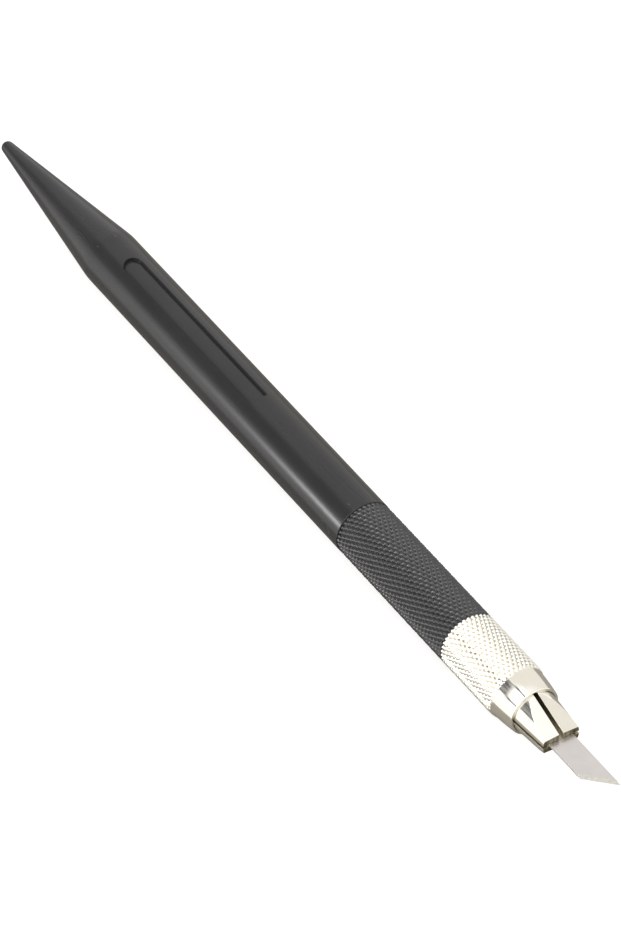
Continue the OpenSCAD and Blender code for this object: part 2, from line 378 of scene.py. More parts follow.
def knurl_height(count, rows, shallow=0.0):
    """0 in a groove and 1 on a crest, for each ring along and each of count angles round.

    shallow is the height at which the grooves that run one way stop.
    """
    m = np.arange(count)[None, :] / CELL_STEPS
    j = np.arange(rows + 1)[:, None] / CELL_STEPS

    def from_groove(w):
        """The profile's height at a place that counts 2 from groove to groove."""
        return np.interp(np.abs((w % 2) - 1), *KNURL_SHAPE)

    return np.minimum(from_groove(m + j), shallow + (1 - shallow) * from_groove(m - j))


def knurl_split(first_ring, rings):
    """The diagonal that follows the grooves, for the rings that the knurl covers."""
    def split(p, q):
        """None away from the knurl, and else whether the cell's diagonal falls."""
        if not first_ring <= p < first_ring + rings:
            return None
        return (q // CELL_STEPS + (p - first_ring) // CELL_STEPS) % 2 == 0
    return split


def thread_depth(x, angles, start_x, stop_x):
    """How far a right-hand thread cuts in, with a run-out at both ends."""
    turn = (x / THREAD_PITCH - angles / TAU) % 1
    fade = smooth_step((x - start_x) / THREAD_PITCH) * smooth_step((stop_x - x) / THREAD_PITCH)
    return THREAD_DEPTH * np.abs(2 * turn - 1) * fade


# ------------------------ barrel
RECESS_REAR_X = TAIL_X + TAIL_LEN + RECESS_GAP
RECESS_FRONT_X = RECESS_REAR_X + RECESS_LEN
LAND_X = RECESS_FRONT_X + LAND_GAP
# Width of the recess's steep wall, and how near it a vertex is drawn on to it
RECESS_WALL = 0.04 * MM
RECESS_SNAP = 0.022 * MM
# The step over which the slope of the distance to its outline is measured
RECESS_STEP = 0.002 * MM
# How far past the recess the fine mesh runs, across the barrel and along it
RECESS_PAST_SIDE, RECESS_PAST_END = 0.25 * MM, 0.3 * MM
# How far round from the recess's middle its patch of the mesh reaches
RECESS_PATCH = 0.5
# From the end of the tail's cone to the first station of the barrel's straight part
STRAIGHT_GAP = 3 * MM


def recess_distance(x, across):
    """Signed distance to the name recess's outline on the barrel, negative inside."""
    half = RECESS_W / 2
    round_end = np.hypot(x - RECESS_REAR_X - half, across) - half
    dx = x - RECESS_FRONT_X + RECESS_CORNER
    dy = np.abs(across) - half + RECESS_CORNER
    square_end = np.hypot(np.maximum(dx, 0), np.maximum(dy, 0))
    square_end = square_end + np.minimum(np.maximum(dx, dy), 0) - RECESS_CORNER
    return np.where(x < RECESS_REAR_X + half, round_end, square_end)


def sunk_recess(x, across):
    """Draws the vertices near the recess's edge on to its wall, and sinks those inside."""
    distance = recess_distance(x, across)
    slope_x = (recess_distance(x + RECESS_STEP, across) - distance) / RECESS_STEP
    slope_a = (recess_distance(x, across + RECESS_STEP) - distance) / RECESS_STEP
    middle = -RECESS_WALL / 2
    near = np.abs(distance - middle) < RECESS_WALL / 2 + RECESS_SNAP
    snapped = np.where(distance > middle, 0.0, -RECESS_WALL)
    move = np.where(near, snapped - distance, 0.0)
    depth = RECESS_DEPTH * (distance + move < -RECESS_WALL / 2)
    return x + move * slope_x, across + move * slope_a, depth


def barrel_angles():
    """Angles round the barrel, close together across the recess."""
    reach = RECESS_W / 2 + RECESS_PAST_SIDE
    fine = np.arcsin(np.linspace(-reach, reach, round(2 * reach / RECESS_CELL)) / HANDLE_R)
    coarse = np.linspace(fine[-1], TAU + fine[0], BARREL_AROUND)[1:-1]
    return RECESS_TURN + np.concatenate([fine, coarse])


def barrel_stations():
    """Stations along the barrel in front of its cone, close together at the recess's ends."""
    margin = RECESS_PAST_END
    rear_turn_x = RECESS_REAR_X + RECESS_W / 2

    def run(start, stop, longest):
        """Even stations past start up to stop, no further apart than longest."""
        return np.linspace(start, stop, 1 + math.ceil((stop - start) / longest))[1:]

    return np.concatenate([
        run(TAIL_X + TAIL_LEN + STRAIGHT_GAP, RECESS_REAR_X - margin, REAR_CELL),
        run(RECESS_REAR_X - margin, rear_turn_x, RECESS_CELL),
        run(rear_turn_x, RECESS_FRONT_X - margin, BARREL_CELL),
        run(RECESS_FRONT_X - margin, RECESS_FRONT_X + margin, RECESS_CELL),
        run(RECESS_FRONT_X + margin, SEAM_X - margin, BARREL_CELL),
    ])


def build_barrel(material):
    """The barrel's shell: tail, cone, shoulder, the drafted barrel with its name recess, bore."""
    tail_r = HANDLE_R - BARREL_DRAFT
    run = TAIL_LEN - TAIL_TIP_R
    angle = math.atan2(tail_r, run) - math.asin(TAIL_TIP_R / math.hypot(run, tail_r))
    tilt = math.degrees(angle)
    blend_x = TAIL_X + TAIL_LEN + SHOULDER_ROUND * math.tan(angle / 2)
    store_x = TAIL_X + TAIL_LEN - (SOCKET_R - TAIL_TIP_R) / math.tan(angle)
    tail = arc_points(TAIL_X + TAIL_TIP_R, 0, TAIL_TIP_R, 180, 90 + tilt, ARC_STEPS)
    blend = arc_points(blend_x, tail_r - SHOULDER_ROUND, SHOULDER_ROUND, 90 + tilt, 90,
                       ARC_STEPS)
    cone = resampled([tail[-1], blend[0]], CONE_CELL)[1:-1]
    stations = barrel_stations()
    drafted = np.interp(stations, [blend_x, LAND_X], [tail_r, HANDLE_R])
    straight = list(zip(stations, drafted))
    lip = arc_points(SEAM_X - SEAM_ROUND, HANDLE_R - SEAM_ROUND, SEAM_ROUND, 90, 0, LIP_STEPS)
    inside = resampled([
        (SEAM_X, SOCKET_R + LEAD),
        (SEAM_X - LEAD, SOCKET_R),
        (TAIL_X + TAIL_LEN, SOCKET_R),
        (store_x, TAIL_TIP_R),
        (store_x, 0),
    ], BORE_CELL)
    path = tail + cone + blend + straight + lip + inside
    path[0] = (path[0][0], 0.0)
    angles = barrel_angles()
    xs, radii = turned(path, len(angles))
    xs = np.repeat(xs[:, None], len(angles), axis=1)
    turns = np.repeat(angles[None, :], len(path), axis=0)
    first = len(tail) + len(cone) + len(blend)
    top = np.abs((angles - RECESS_TURN + math.pi) % TAU - math.pi) < RECESS_PATCH
    patch = np.ix_(range(first, first + len(straight)), np.flatnonzero(top))
    across = HANDLE_R * np.sin(turns[patch] - RECESS_TURN)
    xs[patch], across, depth = sunk_recess(xs[patch], across)
    turns[patch] = RECESS_TURN + np.arcsin(across / HANDLE_R)
    radii[patch] -= depth
    verts, faces = swept(xs, radii, turns)
    return new_object("barrel_shell", verts, faces, material, "barrel_body", "barrel",
                      sharp=40)


# ------------------------ grip
def build_grip(material):
    """The grip: hollow plug, knurl, undercut, threaded spigot and the collet's bore."""
    count = 2 * GRIP_STARTS * CELL_STEPS
    angles = even_angles(count)
    plug_r = SOCKET_R - PLUG_FIT
    bore_r = SHANK_R + SHANK_FIT
    web_front_x = SHANK_REAR_X - LEAD
    undercut_x = GRIP_FRONT_X + UNDERCUT_LEN
    undercut_r = THREAD_R - UNDERCUT_DEPTH
    root_r = HANDLE_R - GRIP_DEPTH
    rear = [
        (SEAM_X, 0.0),
        (SEAM_X, PLUG_BORE_R),
        (PLUG_REAR_X, PLUG_BORE_R),
        (PLUG_REAR_X, plug_r - LEAD),
        (PLUG_REAR_X + LEAD, plug_r),
        (SEAM_X, plug_r),
        (SEAM_X, root_r - GRIP_REAR_SINK),
    ]
    rows = GRIP_ROWS * CELL_STEPS
    knurl = level_run(SEAM_X, GRIP_FRONT_X, rows, HANDLE_R)
    relief = [
        (GRIP_FRONT_X, root_r - GRIP_FRONT_SINK),
        (GRIP_FRONT_X, undercut_r),
        (undercut_x, undercut_r),
    ]
    thread = level_run(undercut_x, SPIGOT_FRONT_X - LEAD, SPIGOT_STEPS, THREAD_R)
    front = [
        (SPIGOT_FRONT_X, THREAD_R - 1.5 * LEAD),
        (SPIGOT_FRONT_X, bore_r),
        (web_front_x, bore_r),
        (web_front_x, 0.0),
    ]
    path = rear + knurl + relief + thread + front
    xs, radii = turned(path, count)
    first, after = len(rear), len(rear) + rows + 1
    height = knurl_height(count, rows, GRIP_SHALLOW)
    from_end = np.minimum(xs[first:after] - SEAM_X, GRIP_CHAMFER)[:, None]
    crest = HANDLE_R - (GRIP_CHAMFER - from_end) * GRIP_CHAMFER_SLOPE
    radii[first:after] = np.minimum(root_r + GRIP_DEPTH * height, crest)
    start = after + len(relief)
    stop = start + SPIGOT_STEPS + 1
    cut = thread_depth(xs[start:stop, None], angles[None, :],
                       undercut_x - THREAD_PITCH, SPIGOT_FRONT_X + THREAD_PITCH)
    radii[start:stop] -= cut
    verts, faces = swept(xs, radii, angles, knurl_split(first, rows))
    return new_object("grip_knurled", verts, faces, material, "grip_body", "grip",
                      sharp=60)


# ------------------------ collar
def build_collar(material):
    """The collar: knurl, swelling taper, rounded rim, the nose's cone inside and the thread."""
    count = 2 * COLLAR_STARTS * CELL_STEPS
    angles = even_angles(count)
    root_r = HANDLE_R - COLLAR_DEPTH
    blank_r = HANDLE_R - COLLAR_BLANK
    rim_r = MOUTH_R + MOUTH_RIM
    rim_x = MOUTH_X - RIM_ROUND
    rows = (COLLAR_ROWS + 1) * CELL_STEPS
    row_len = (KNURL_FRONT_X - COLLAR_REAR_X) / (COLLAR_ROWS * CELL_STEPS)
    knurl = [(COLLAR_REAR_X + row_len * i, HANDLE_R) for i in range(rows + 1)]
    knurl_end_x = knurl[-1][0]

    def taper_r(x):
        """Radius of the plain front, a straight taper with a swell on it."""
        s = (x - KNURL_FRONT_X) / (rim_x - KNURL_FRONT_X)
        return blank_r + (rim_r - blank_r) * s + 4 * TAPER_SWELL * s * (1 - s)

    taper = [(x, taper_r(x)) for x in np.linspace(knurl_end_x, rim_x, TAPER_STEPS)[1:]]
    rim = arc_points(rim_x, rim_r - RIM_ROUND, RIM_ROUND, 80, 0, RIM_STEPS)
    mouth = [
        (MOUTH_X, MOUTH_R + MOUTH_LIP),
        (MOUTH_X - MOUTH_LIP, MOUTH_R),
        (NOSE_MAX_X, COLLAR_BORE_R),
    ]
    thread_start = SPIGOT_FRONT_X + THREAD_PITCH
    thread = level_run(thread_start, COLLAR_REAR_X + LEAD, COLLAR_STEPS, COLLAR_BORE_R)
    rear = [(COLLAR_REAR_X, COLLAR_BORE_R + LEAD)]
    path = knurl + taper + rim + mouth + thread + rear
    path.append(path[0])
    xs, radii = turned(path, count)
    lattice = root_r + COLLAR_DEPTH * knurl_height(count, rows)
    x = xs[:rows + 1, None]
    plain = np.where(x < KNURL_FRONT_X, blank_r, taper_r(x))
    fade = smooth_step((x - KNURL_FRONT_X + KNURL_FADE_BACK) / KNURL_FADE_LEN)
    radii[:rows + 1] = lattice * (1 - fade) + plain * fade
    start = len(knurl) + len(taper) + len(rim) + len(mouth)
    stop = start + COLLAR_STEPS + 1
    cut = thread_depth(xs[start:stop, None], angles[None, :],
                       COLLAR_REAR_X - THREAD_PITCH, thread_start)
    radii[start:stop] += COLLAR_THREAD_SHARE * cut
    radii[-1] = radii[0]
    verts, faces = swept(xs, radii, angles, knurl_split(0, rows))
    return new_object("collar_knurled", verts, faces, material, "collar_body", "collar",
                      sharp=60)


# ------------------------ collet
# Where the nose's flats start, behind the collar's mouth
FLAT_REAR_X = MOUTH_X - 1 * MM
# How far the jaws reach back into the shank, and how far they are set into it
SHANK_LAP, SHANK_INSET = 0.3 * MM, 0.02 * MM
# How near the nose's end its end face is, and how straight a slit's walls look across
END_FACE, WALL_NORMAL = 0.02 * MM, 0.98


def collet_outline():
    """Stations and outer radii of the collet in front of its shank."""
    nose_max_r = COLLAR_BORE_R - NOSE_FIT
    land_x = NOSE_MAX_X - NOSE_LAND
    shoulder_x = SPIGOT_FRONT_X + FACE_GAP
    return [
        (SLOT_ROOT_X, SHANK_R),
        (shoulder_x, SHANK_R),
        (shoulder_x, THREAD_R - LEAD),
        (shoulder_x + SHOULDER_LEN, THREAD_R - LEAD),
        (shoulder_x + SHOULDER_LEN, NECK_R),
        (land_x - NOSE_RAMP, NECK_R),
        (land_x, nose_max_r),
        (NOSE_MAX_X, nose_max_r),
        (NOSE_END_X, MOUTH_R - NOSE_FIT - (NOSE_END_X - MOUTH_X) * NOSE_SLOPE),
    ]


def flat_height(x):
    """Height above the axis of the flat on the nose."""
    at_mouth = MOUTH_R - NOSE_FIT
    slope = (at_mouth - NOSE_END_T / 2) / (NOSE_END_X - MOUTH_X)
    return NOSE_END_T / 2 + (NOSE_END_X - x) * slope


def jaw_section(x, radius, sy, sz):
    """Outline of one jaw at x: slit wall, flat, round side and slot wall."""
    s, h = SLIT_W / 2, SLOT_T / 2
    flat = flat_height(x) if x > FLAT_REAR_X else 2 * radius
    top = math.sqrt(radius * radius - s * s)
    z1 = min(flat, top)
    y2 = math.sqrt(radius * radius - z1 * z1)
    z2 = z1 - (y2 - s) * JAW_LEAN
    y2 = math.sqrt(radius * radius - z2 * z2)
    start, stop = math.atan2(z2, y2), math.asin(h / radius)
    side, round_steps = JAW_SIDE_STEPS, JAW_ROUND_STEPS
    points = [(s, h + (z1 - h) * i / side) for i in range(side)]
    points += [(s + (y2 - s) * i / side, z1 + (z2 - z1) * i / side) for i in range(side)]
    for i in range(round_steps + 1):
        t = start + (stop - start) * i / round_steps
        points.append((radius * math.cos(t), radius * math.sin(t)))
    far_y = points[-1][0]
    points += [(far_y + (s - far_y) * i / side, h) for i in range(1, side)]
    return [(x, sy * y, sz * z + AXIS_Z) for y, z in points]


def jaw(sy, sz):
    """One of the four jaws, as a closed shell of sections along the knife."""
    rows = []
    outline = collet_outline()
    for ends in zip(outline, outline[1:]):
        rows += ends
    hidden = [p for p in rows if p[0] <= FLAT_REAR_X]
    hidden[0] = (SLOT_ROOT_X - SHANK_LAP, SHANK_R - SHANK_INSET)
    shown_x = np.linspace(FLAT_REAR_X, NOSE_END_X, JAW_STATIONS)
    shown = list(zip(shown_x, np.interp(shown_x, *zip(*outline))))
    sections = []
    for x, r in hidden + shown:
        sections.append(jaw_section(x, r, sy, sz))
    count = len(sections[0])
    verts = [p for section in sections for p in section]
    faces = []
    for k in range(len(sections) - 1):
        for q in range(count):
            a, b = k * count + q, k * count + (q + 1) % count
            faces.append((a, b, b + count, a + count))
    last = (len(sections) - 1) * count
    faces.append(tuple(range(count)))
    faces.append(tuple(range(last + count - 1, last - 1, -1)))
    return verts, faces


def build_collet(material, sawn, end_painted_shade):
    """The collet: its shank and four jaws, with sawn slits and a faced end whose dark brass tones
    are painted shade.
    """
    angles = even_angles(SHANK_AROUND)
    path = [
        (SHANK_REAR_X, 0.0),
        (SHANK_REAR_X, SHANK_R - LEAD),
        (SHANK_REAR_X + LEAD, SHANK_R),
        (SLOT_ROOT_X, SHANK_R),
        (SLOT_ROOT_X, 0.0),
    ]
    shank = swept(*turned(path, len(angles)), angles)
    jaws = [jaw(sy, sz) for sy in (1, -1) for sz in (1, -1)]
    verts, faces = joined(shank, *jaws)
    obj = new_object("collet_jaws", verts, faces, material, "collet_body", "collet",
                     sharp=35)
    obj.data.materials.append(sawn)
    obj.data.materials.append(end_painted_shade)
    for p in obj.data.polygons:
        if p.center.x > NOSE_END_X - END_FACE:
            p.material_index = 2
        elif abs(p.normal.y) > WALL_NORMAL and abs(p.center.y) < SLIT_W:
            p.material_index = 1
        elif abs(p.normal.z) > WALL_NORMAL and abs(p.center.z - AXIS_Z) < SLOT_T:
            p.material_index = 1
    break_edges(obj, COLLET_BREAK, segments=2, degrees=32, harden=True)
    return obj


# ------------------------ blade
# A lower normal than the first is on the blade's sides, a higher one than the second is
# on its flat faces, and those between are the bevel's
SIDE_NORMAL, FLAT_NORMAL = 0.1, 0.99


def build_blade(steel, ground, sheared):
    """The blade: a strip with a bevel on both sides of its slanting edge."""
    half = BLADE_W / 2
    t, e = BLADE_T / 2, EDGE_T / 2
    # The edge slants at 45 degrees, so its heel lies a blade's width behind its tip
    back = BEVEL_W * math.sqrt(2)
    heel_x = BLADE_TIP_X - BLADE_W
    corner = BLADE_CORNER
    outline = [
        (BLADE_REAR_X, half - corner),
        (BLADE_REAR_X, corner - half),
        (BLADE_REAR_X + corner, -half),
        (heel_x - back, -half),
        (BLADE_TIP_X - back, half),
        (BLADE_REAR_X + corner, half),
    ]
    edge = [(heel_x, -half), (BLADE_TIP_X, half)]
    n = len(outline)
    verts = [(x, y, AXIS_Z + t) for x, y in outline]
    verts += [(x, y, AXIS_Z - t) for x, y in outline]
    verts += [(x, y, AXIS_Z + e) for x, y in edge]
    verts += [(x, y, AXIS_Z - e) for x, y in edge]
    heel_top, tip_top, heel_low, tip_low = range(2 * n, 2 * n + 4)
    heel, tip = 3, 4
    faces = [tuple(range(n)), tuple(range(2 * n - 1, n - 1, -1))]
    for i in range(n):
        k = (i + 1) % n
        if i != heel:
            faces.append((i, i + n, k + n, k))
    faces += [
        (heel, heel_top, tip_top, tip),
        (heel + n, tip + n, tip_low, heel_low),
        (heel_top, heel_low, tip_low, tip_top),
        (heel, heel + n, heel_low, heel_top),
        (tip, tip_top, tip_low, tip + n),
    ]
    obj = new_object("blade_ground", verts, faces, steel, "blade_body", "blade",
                     sharp=12)
    obj.data.materials.append(ground)
    obj.data.materials.append(sheared)
    for p in obj.data.polygons:
        upright = abs(p.normal.z)
        if upright < SIDE_NORMAL:
            p.material_index = 2
        elif upright < FLAT_NORMAL:
            p.material_index = 1
    break_edges(obj, BLADE_BREAK, segments=1, degrees=40)
    return obj


# ------------------------ materials
class Nodes:
    """A short way to write a node tree."""

    def __init__(self, tree, coordinate):
        """Writes into tree, and takes places from that output of Texture Coordinate."""
        self.tree = tree
        self.place = self.add("ShaderNodeTexCoord").outputs[coordinate]

    def add(self, kind, **settings):
        """A new node with those properties."""
        node = self.tree.nodes.new(kind)
        for key, value in settings.items():
            setattr(node, key, value)
        return node

    def put(self, value, socket):
        """Links an output to the socket, or sets a plain value on it."""
        if isinstance(value, bpy.types.NodeSocket):
            self.tree.links.new(value, socket)
        else:
            socket.default_value = value

    def math(self, operation, *values):
        """The result of a Math node."""
        node = self.add("ShaderNodeMath", operation=operation)
        for value, socket in zip(values, node.inputs):
            self.put(value, socket)
        return node.outputs["Value"]

    def stretched(self, scale, turn=(0, 0, 0)):
        """The place, scaled along each axis, for grain that runs one way."""
        node = self.add("ShaderNodeMapping")
        self.put(self.place, node.inputs["Vector"])
        node.inputs["Rotation"].default_value = turn
        node.inputs["Scale"].default_value = scale
        return node.outputs["Vector"]

    def noise(self, scale, detail=4.0, rough=0.5, vector=None):
        """Noise at the place, or at the vector if there is one."""
        node = self.add("ShaderNodeTexNoise")
        self.put(vector or self.place, node.inputs["Vector"])
        node.inputs["Scale"].default_value = scale
        node.inputs["Detail"].default_value = detail
        node.inputs["Roughness"].default_value = rough
        return node.outputs["Fac"]

    def ranged(self, value, low, high, to_low=0.0, to_high=1.0):
        """The value mapped from low and high to to_low and to_high, and held there."""
        node = self.add("ShaderNodeMapRange")
        self.put(value, node.inputs["Value"])
        node.inputs["From Min"].default_value = low
        node.inputs["From Max"].default_value = high
        node.inputs["To Min"].default_value = to_low
        node.inputs["To Max"].default_value = to_high
        return node.outputs["Result"]

    def ramp(self, value, stops):
        """A colour ramp with (place, colour) stops."""
        node = self.add("ShaderNodeValToRGB")
        self.put(value, node.inputs["Fac"])
        elements = node.color_ramp.elements
        while len(elements) < len(stops):
            elements.new(0.5)
        for element, (place, colour) in zip(elements, stops):
            element.position = place
            element.color = (*colour, 1.0)
        return node.outputs["Color"]

    def mixed(self, factor, first, second):
        """The first colour where the factor is 0 and the second where it is 1."""
        node = self.add("ShaderNodeMix", data_type="RGBA")
        # A Mix node's colour sockets come after those for numbers and vectors
        for value, index in ((factor, 0), (first, 6), (second, 7)):
            self.put(value, node.inputs[index])
        return node.outputs[2]

    def bump(self, height, strength, distance, normal=None):
        """A bumped normal, on top of another if there is one."""
        node = self.add("ShaderNodeBump")
        self.put(height, node.inputs["Height"])
        node.inputs["Strength"].default_value = strength
        node.inputs["Distance"].default_value = distance
        if normal is not None:
            self.put(normal, node.inputs["Normal"])
        return node.outputs["Normal"]


class Surface(Nodes):
    """A material and its Principled shader."""

    SOCKETS = {"colour": "Base Color", "roughness": "Roughness", "normal": "Normal",
               "metallic": "Metallic", "specular": "Specular IOR Level"}

    def __init__(self, name):
        """A new material, written in the object's own coordinates."""
        self.material = bpy.data.materials.new(name)
        self.material.use_nodes = True
        super().__init__(self.material.node_tree, "Object")
        self.shader = self.tree.nodes["Principled BSDF"]

    def shade(self, **values):
        """Sets or links the shader's sockets and gives the material."""
        for key, value in values.items():
            self.put(value, self.shader.inputs[self.SOCKETS[key]])
        return self.material


def black_plastic():
    """Satin moulded plastic: a fine grain and faint flow marks."""
    n = Surface("black_plastic")
    cloud = n.noise(90, detail=5, rough=0.6)
    grain = n.noise(9000, detail=3, rough=0.55)
    flow = n.noise(260, detail=4, rough=0.6, vector=n.stretched((0.12, 1, 1)))
    colour = n.ramp(cloud, [(0.3, (0.018, 0.018, 0.019)), (0.7, (0.024, 0.0235, 0.024))])
    rough = n.ranged(flow, low=0.3, high=0.7, to_low=0.24, to_high=0.29)
    soft = n.bump(flow, strength=0.06, distance=0.02 * MM)
    normal = n.bump(grain, strength=0.08, distance=0.01 * MM, normal=soft)
    return n.shade(colour=colour, roughness=rough, normal=normal, specular=0.5)


def scuffed_plastic():
    """Plastic that something has rubbed pale."""
    n = Surface("scuffed_plastic")
    cloud = n.noise(5000, detail=4, rough=0.7)
    colour = n.ramp(cloud, [(0.35, (0.05, 0.05, 0.052)), (0.65, (0.16, 0.16, 0.165))])
    normal = n.bump(cloud, strength=0.3, distance=0.01 * MM)
    return n.shade(colour=colour, roughness=0.45, normal=normal)


def black_metal():
    """Matt black coat on the knurl, worn a little lighter in places."""
    n = Surface("black_metal")
    cloud = n.noise(700, detail=5, rough=0.65)
    grain = n.noise(14000, detail=2, rough=0.5)
    colour = n.ramp(cloud, [(0.3, (0.016, 0.016, 0.017)), (0.72, (0.028, 0.0275, 0.028))])
    rough = n.ranged(cloud, low=0.3, high=0.7, to_low=0.2, to_high=0.3)
    normal = n.bump(grain, strength=0.1, distance=0.01 * MM)
    return n.shade(colour=colour, roughness=rough, normal=normal, specular=0.8)


def worked_metal(name, lines, tones, rough, bump, cloud=None, tone_places=(0.3, 0.7)):
    """A metal with fine lines that run one way.

    lines gives their noise's scale and detail and how it is stretched and turned. tones
    are a dark and a light colour, rough the range of roughness, and bump the lines'
    strength and depth. cloud is the scale of the patches that the tones follow; without
    it they follow the lines.
    """
    n = Surface(name)
    scale, detail, *stretch = lines
    along = n.noise(scale, detail, rough=0.7, vector=n.stretched(*stretch))
    patches = n.noise(cloud, detail=4, rough=0.6) if cloud else along
    colour = n.ramp(patches, list(zip(tone_places, tones)))
    roughness = n.ranged(along, 0.3, 0.7, *rough)
    normal = n.bump(along, *bump)
    return n.shade(colour=colour, roughness=roughness, normal=normal, metallic=1.0)


def nickel(name, stretch):
    """Bright nickel plate with fine turning or grinding lines."""
    return worked_metal(name, lines=(2600, 4, stretch), cloud=500, rough=(0.07, 0.11),
                        tones=((0.92, 0.89, 0.79), (0.95, 0.925, 0.84)),
                        bump=(0.06, 0.004 * MM))


def sawn_brass(name, dark, light):
    """The collet's sawn slits or its faced end, where the plate is thin and dull, and the brass
    tones are held dark as painted shade.
    """
    return worked_metal(name, lines=(3200, 4, (1, 1, 0.2)), rough=(0.3, 0.5),
                        tones=(dark, light), tone_places=(0.35, 0.65),
                        bump=(0.3, 0.01 * MM))


def blade_steel():
    """Plain carbon steel, with the fine lines of the strip that it was cut from."""
    return worked_metal("blade_steel", lines=(2400, 5, (0.04, 1, 1)), cloud=400,
                        rough=(0.27, 0.36), tones=((0.70, 0.67, 0.66), (0.75, 0.72, 0.71)),
                        bump=(0.1, 0.004 * MM))


def ground_steel():
    """The bevel, ground square to the cutting edge, darker and a little greener."""
    return worked_metal("ground_steel", rough=(0.2, 0.32), bump=(0.1, 0.004 * MM),
                        lines=(5200, 3, (1, 0.08, 1), (0, 0, -EDGE_ANGLE)),
                        tones=((0.44, 0.425, 0.37), (0.51, 0.495, 0.435)))


def sheared_steel():
    """The blade's long sides, dull from the shears."""
    return worked_metal("sheared_steel", lines=(4000, 3, (1, 1, 0.1)), rough=(0.5, 0.65),
                        tones=((0.66, 0.64, 0.62), (0.80, 0.78, 0.76)),
                        bump=(0.2, 0.004 * MM))


# ------------------------ camera
def add_camera():
    """The photograph's camera."""
    right = Vector((math.cos(CAM_AZIMUTH), math.sin(CAM_AZIMUTH), 0.0))
    up = CAM_BACK.cross(right)
    aim = Vector((TAIL_X, 0, AXIS_Z)) + CAM_AIM
    data = bpy.data.cameras.new("camera")
    data.sensor_fit = "AUTO"
    data.sensor_width = CAM_SENSOR
    data.lens = CAM_LENS
    data.clip_start, data.clip_end = CAM_CLIP
    camera = bpy.data.objects.new("camera", data)
    turn = Matrix((right, up, CAM_BACK)).transposed().to_4x4()
    camera.matrix_world = Matrix.Translation(aim + CAM_BACK * CAM_DISTANCE) @ turn
    bpy.context.scene.collection.objects.link(camera)
    bpy.context.scene.camera = camera
    return camera


def seen_at(camera, point):
    """Where a point shows, in the photograph's pixels."""
    local = camera.matrix_world.inverted() @ Vector(point)
    scale = IMAGE_LONG * camera.data.lens / camera.data.sensor_width / -local.z
    x = IMAGE_W / 2 + local.x * scale - camera.data.shift_x * IMAGE_LONG
    y = IMAGE_H / 2 - local.y * scale + camera.data.shift_y * IMAGE_LONG
    return x, y


def on_surface(camera, tree, point):
    """Where the ray through an image point meets what the tree holds.

    A miss takes the place nearest the ray.
    """
    data = camera.data
    start = camera.matrix_world.translation
    toward = camera.matrix_world.to_3x3() @ Vector((
        point[0] - IMAGE_W / 2 + data.shift_x * IMAGE_LONG,
        IMAGE_H / 2 - point[1] + data.shift_y * IMAGE_LONG,
        -IMAGE_LONG * data.lens / data.sensor_width,
    ))
    toward.normalize()
    place = tree.ray_cast(start, toward)[0]
    if place is None:
        along = [start + toward * d for d in np.linspace(*RAY_REACH, RAY_STEPS)]
        place = min((tree.find_nearest(p) for p in along), key=lambda hit: hit[3])[0]
    return place


# ------------------------ scuffs
def build_scuffs(camera, carrier, material):
    """Thin slivers in the barrel's surface, where the photograph shows it rubbed pale."""
    tree = BVHTree.FromPolygons(*finished(carrier))
    blunt, far = SCUFF_BLUNT
    made = {}
    for name, (first, last, half) in SCUFFS.items():
        verts, faces = [], []
        for share in np.linspace(0, 1, SCUFF_STEPS + 1):
            point = [a + (b - a) * share for a, b in zip(first, last)]
            x, y, z = on_surface(camera, tree, point)
            turn = math.atan2(z - AXIS_Z, y)
            radius = math.hypot(z - AXIS_Z, y)
            taper = math.sin(math.pi * (blunt + (far - blunt) * share))
            width = half * MM * math.sqrt(taper)
            for side, rise in ((-1, -SCUFF_RISE), (0, SCUFF_RISE), (1, -SCUFF_RISE)):
                r = radius + rise
                t = turn + side * width / radius
                verts.append((x - side * width / 2, r * math.cos(t), AXIS_Z + r * math.sin(t)))
        for i in range(SCUFF_STEPS):
            for a in (3 * i, 3 * i + 1):
                faces.append((a, a + 1, a + 4, a + 3))
        mesh = bpy.data.meshes.new(name)
        mesh.from_pydata(verts, [], faces)
        made[name] = add_piece(mesh, material, "barrel_body")
    return made


# ------------------------ stage and light
def add_floor():
    """A pale floor that shows white to the camera and keeps a faint shadow; in reflections it
    glows with painted light on the lamp's side.
    """
    n = Surface("floor")
    mesh = bpy.data.meshes.new("floor")
    sides = ((-1, -1), (1, -1), (1, 1), (-1, 1))
    mesh.from_pydata([(x * FLOOR_HALF, y * FLOOR_HALF, 0) for x, y in sides], [], [(0, 1, 2, 3)])
    floor = bpy.data.objects.new("floor", mesh)
    mesh.materials.append(n.material)
    n.shade(colour=FLOOR_COLOUR, roughness=0.9, specular=0.0)
    path = n.add("ShaderNodeLightPath").outputs
    axes = n.add("ShaderNodeSeparateXYZ")
    n.put(n.place, axes.inputs[0])
    mirrored = n.math("MAXIMUM", path["Is Glossy Ray"], path["Is Transmission Ray"])
    # Painted light: in reflections the floor glows white on the lamp's side past the knife's
    # shade band, and nearer in shows only its own shading
    painted_glow = n.math("MULTIPLY", mirrored, n.ranged(axes.outputs["Y"], SHADE_END, WHITE_FROM))
    lift = n.math("MULTIPLY", n.math("MAXIMUM", path["Is Camera Ray"], painted_glow), FLOOR_LIFT)
    n.put((1, 1, 1, 1), n.shader.inputs["Emission Color"])
    n.put(lift, n.shader.inputs["Emission Strength"])
    bpy.context.scene.collection.objects.link(floor)
    return floor


def add_area(name, size, watts, place):
    """A soft box that faces +Y."""
    data = bpy.data.lights.new(name, "AREA")
    data.shape = "RECTANGLE"
    data.size, data.size_y = size
    data.energy = watts
    light = bpy.data.objects.new(name, data)
    light.location = place
    light.rotation_euler = (math.radians(90), 0, 0)
    bpy.context.scene.collection.objects.link(light)
    return light


